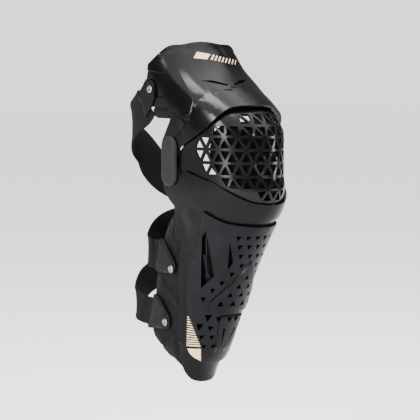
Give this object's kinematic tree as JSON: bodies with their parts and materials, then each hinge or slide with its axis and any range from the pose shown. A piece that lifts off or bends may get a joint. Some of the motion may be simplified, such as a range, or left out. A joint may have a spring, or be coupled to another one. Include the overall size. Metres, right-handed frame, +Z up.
{
  "type": "knee and shin guard",
  "caption": "Hard-shell knee and shin guard with a domed thigh cuff, pierced lattice knee plate, pierced shin plate, side hinges, padded lining and elastic straps with hook tabs.",
  "frame": {"origin": "middle of the knee, where the leg goes through, level with the side hinges", "axes": "+Z up along the thigh, -Y the way the knee cap faces, -X the side that carries the strap hooks"},
  "size_m": [0.1579, 0.2597, 0.4639],
  "materials": {
    "black_shell": "glossy",
    "grey_shell": "satin gloss",
    "grey_plate": "mottled satin",
    "hinge_grey": "matte",
    "grey_textile": "knitted textile over foam",
    "black_webbing": "elastic webbing",
    "tab_rubber": "matte",
    "pin_steel": "dark satin"
  },
  "bodies": {
    "root": {"thigh_shell": "black_shell", "knee_cup": "black_shell", "shin_frame": "grey_shell", "shin_plate": "grey_plate", "thigh_pad": "grey_textile", "knee_pad": "grey_textile", "shin_pad": "grey_textile", "hinge_cover_lateral": "hinge_grey", "hinge_cover_medial": "hinge_grey", "hinge_pin_upper_lateral": "pin_steel", "hinge_pin_lower_lateral": "pin_steel", "hinge_pin_upper_medial": "pin_steel", "hinge_pin_lower_medial": "pin_steel", "thigh_strap": "black_webbing", "calf_upper_strap": "black_webbing", "calf_lower_strap": "black_webbing", "thigh_strap_tab": "tab_rubber", "calf_upper_strap_tab": "tab_rubber", "calf_lower_strap_tab": "tab_rubber", "thigh_strap_post": "pin_steel", "calf_upper_strap_post": "pin_steel", "calf_lower_strap_post": "pin_steel"}
  },
  "joints": []
}
